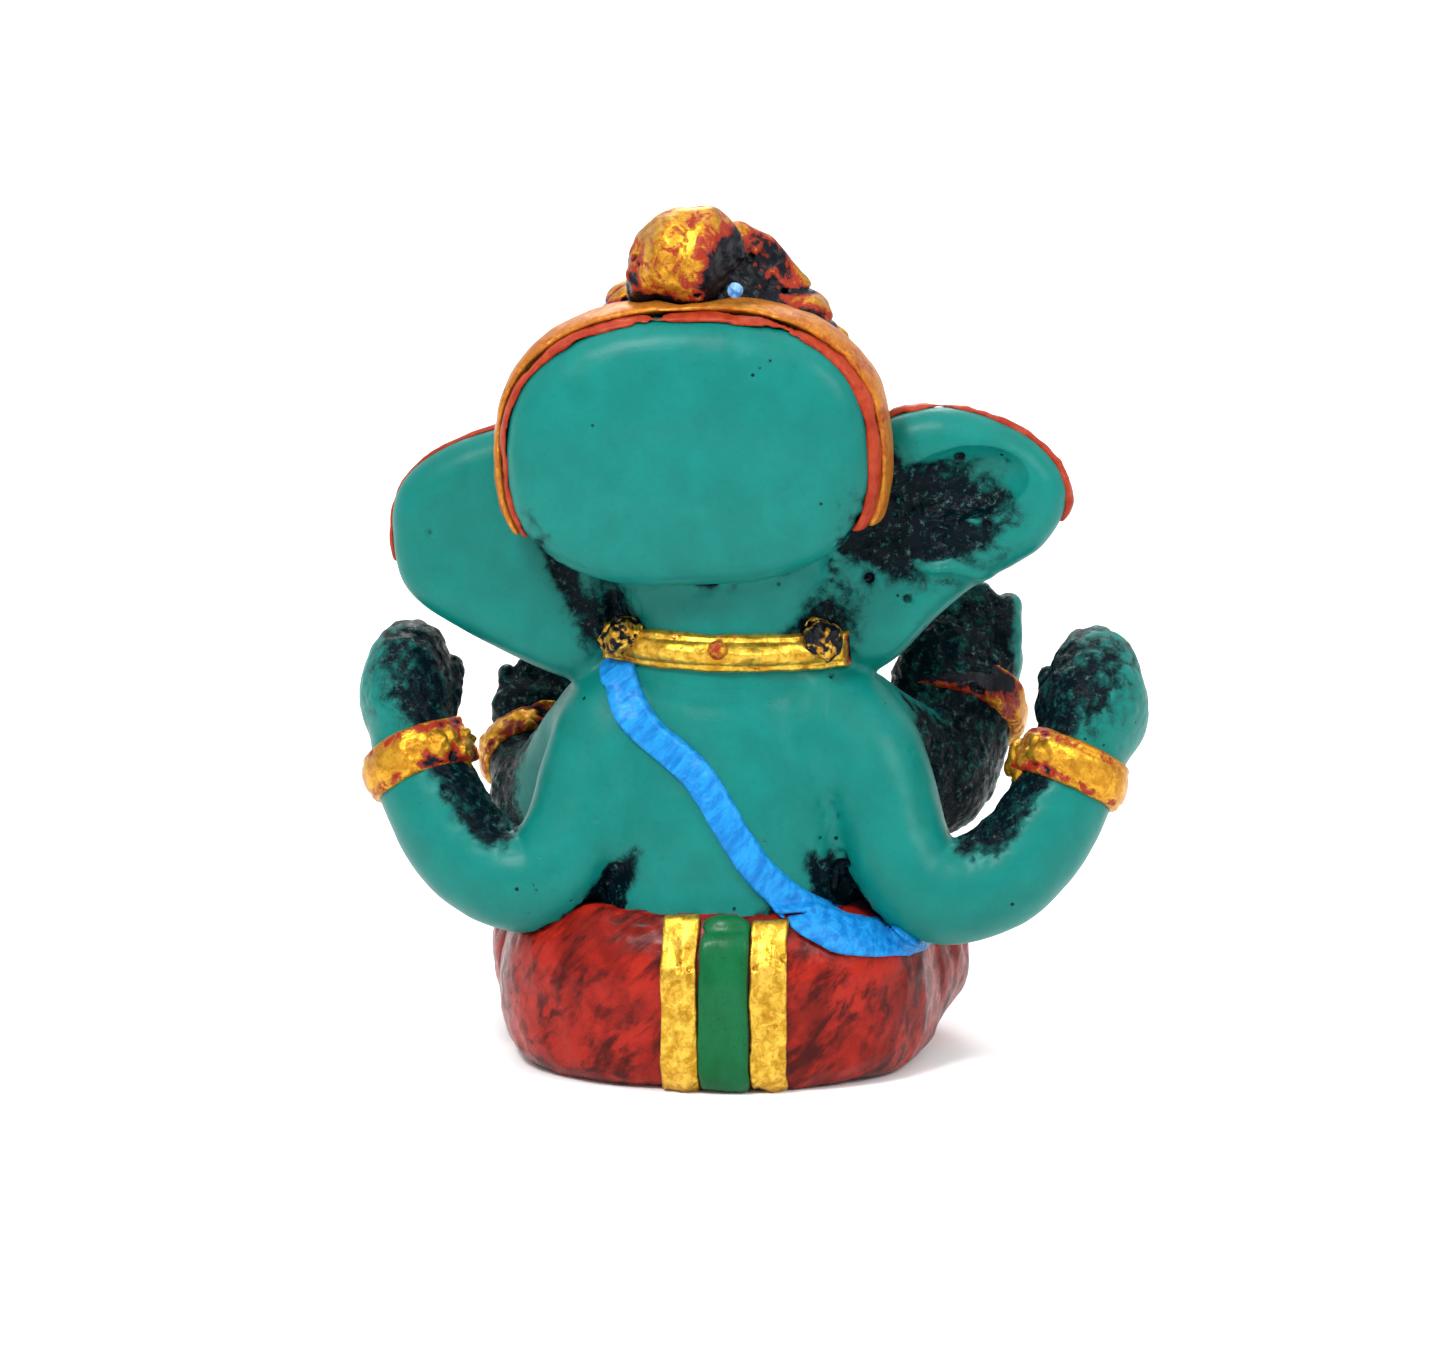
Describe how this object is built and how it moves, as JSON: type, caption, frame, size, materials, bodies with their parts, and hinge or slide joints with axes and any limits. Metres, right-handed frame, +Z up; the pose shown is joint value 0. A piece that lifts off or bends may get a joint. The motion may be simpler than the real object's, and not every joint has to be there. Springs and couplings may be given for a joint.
{
  "type": "seated elephant-headed idol",
  "caption": "Small seated elephant-headed figure with raised arms, broad ears and a tall crown, flat underneath so that it stands on a shelf.",
  "frame": {"origin": "centre of the seat's flat underside", "axes": "+Z up, the figure faces -Y, +X towards its left hand"},
  "size_m": [0.0566, 0.0363, 0.0636],
  "materials": {
    "skin": "satin hand-painted resin",
    "dhoti": "glossy red paint dry-brushed with dark maroon",
    "gold": "metallic gold paint brushed over red and black",
    "pleat": "glossy green paint",
    "thread": "thick brushed blue paint",
    "red_lip": "glossy red-orange paint",
    "ivory": "satin cream paint",
    "jewel": "glossy dot of paint"
  },
  "bodies": {
    "root": {"anklet_left": "gold", "anklet_right": "gold", "back_border_left": "gold", "back_border_right": "gold", "back_panel": "pleat", "crown": "gold", "crown_finial": "gold", "crown_finial_lobe": "gold", "crown_front_jewel": "jewel", "crown_jewel": "jewel", "crown_ridge": "gold", "ear_left": "skin", "ear_right": "skin", "ear_rim_left": "red_lip", "ear_rim_right": "red_lip", "eye_left": "ivory", "eye_right": "ivory", "face": "skin", "foot_left": "skin", "foot_right": "skin", "forehead_mark": "red_lip", "front_bangle_left": "gold", "front_bangle_right": "gold", "front_forearm_left": "skin", "front_forearm_right": "skin", "front_hand_left": "skin", "front_hand_right": "skin", "front_upper_arm_left": "skin", "front_upper_arm_right": "skin", "head_back": "skin", "head_rim": "gold", "head_rim_lining": "red_lip", "leg_left": "dhoti", "leg_right": "dhoti", "modak": "ivory", "neck": "skin", "necklace": "gold", "necklace_bead": "gold", "necklace_knot_left": "gold", "necklace_knot_right": "gold", "pendant": "gold", "rear_bangle_left": "gold", "rear_bangle_right": "gold", "rear_forearm_left": "skin", "rear_forearm_right": "skin", "rear_hand_left": "skin", "rear_hand_right": "skin", "rear_upper_arm_left": "skin", "rear_upper_arm_right": "skin", "sacred_sash": "thread", "seat": "dhoti", "torso": "skin", "trunk": "skin", "tusk_left": "ivory", "tusk_right": "ivory"}
  },
  "joints": []
}
